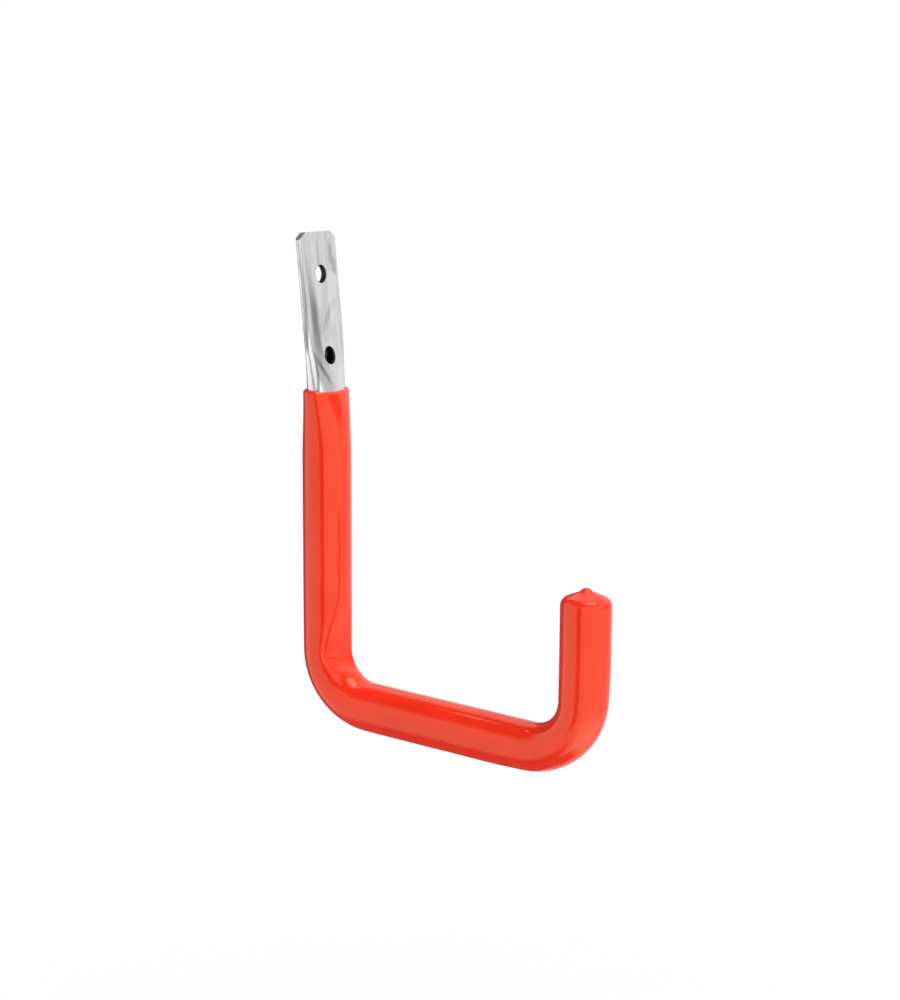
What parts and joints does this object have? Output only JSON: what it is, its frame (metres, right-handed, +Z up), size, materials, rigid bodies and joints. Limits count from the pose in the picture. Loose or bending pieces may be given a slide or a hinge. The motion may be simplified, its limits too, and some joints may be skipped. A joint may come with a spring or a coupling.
{
  "type": "garage utility hook",
  "caption": "Wall-mounted J-shaped utility hook of bent steel tube, its top end pressed flat and drilled for screws, with a glossy red vinyl coat over the shank, arm and upturned lip.",
  "frame": {"origin": "midway between the two screw holes in the flat tab, on the upright plane that passes through both holes, a third of a tube wall in from the back of the tab", "axes": "+Z up along the shank, -Y straight out of the wall along the arm, X across the hook"},
  "size_m": [0.0242, 0.1317, 0.1953],
  "materials": {
    "zinc_steel": "bright zinc plate with fine lengthwise marks",
    "red_vinyl": "glossy dipped vinyl"
  },
  "bodies": {
    "root": {"steel_tube": "zinc_steel", "vinyl_coat": "red_vinyl"}
  },
  "joints": []
}
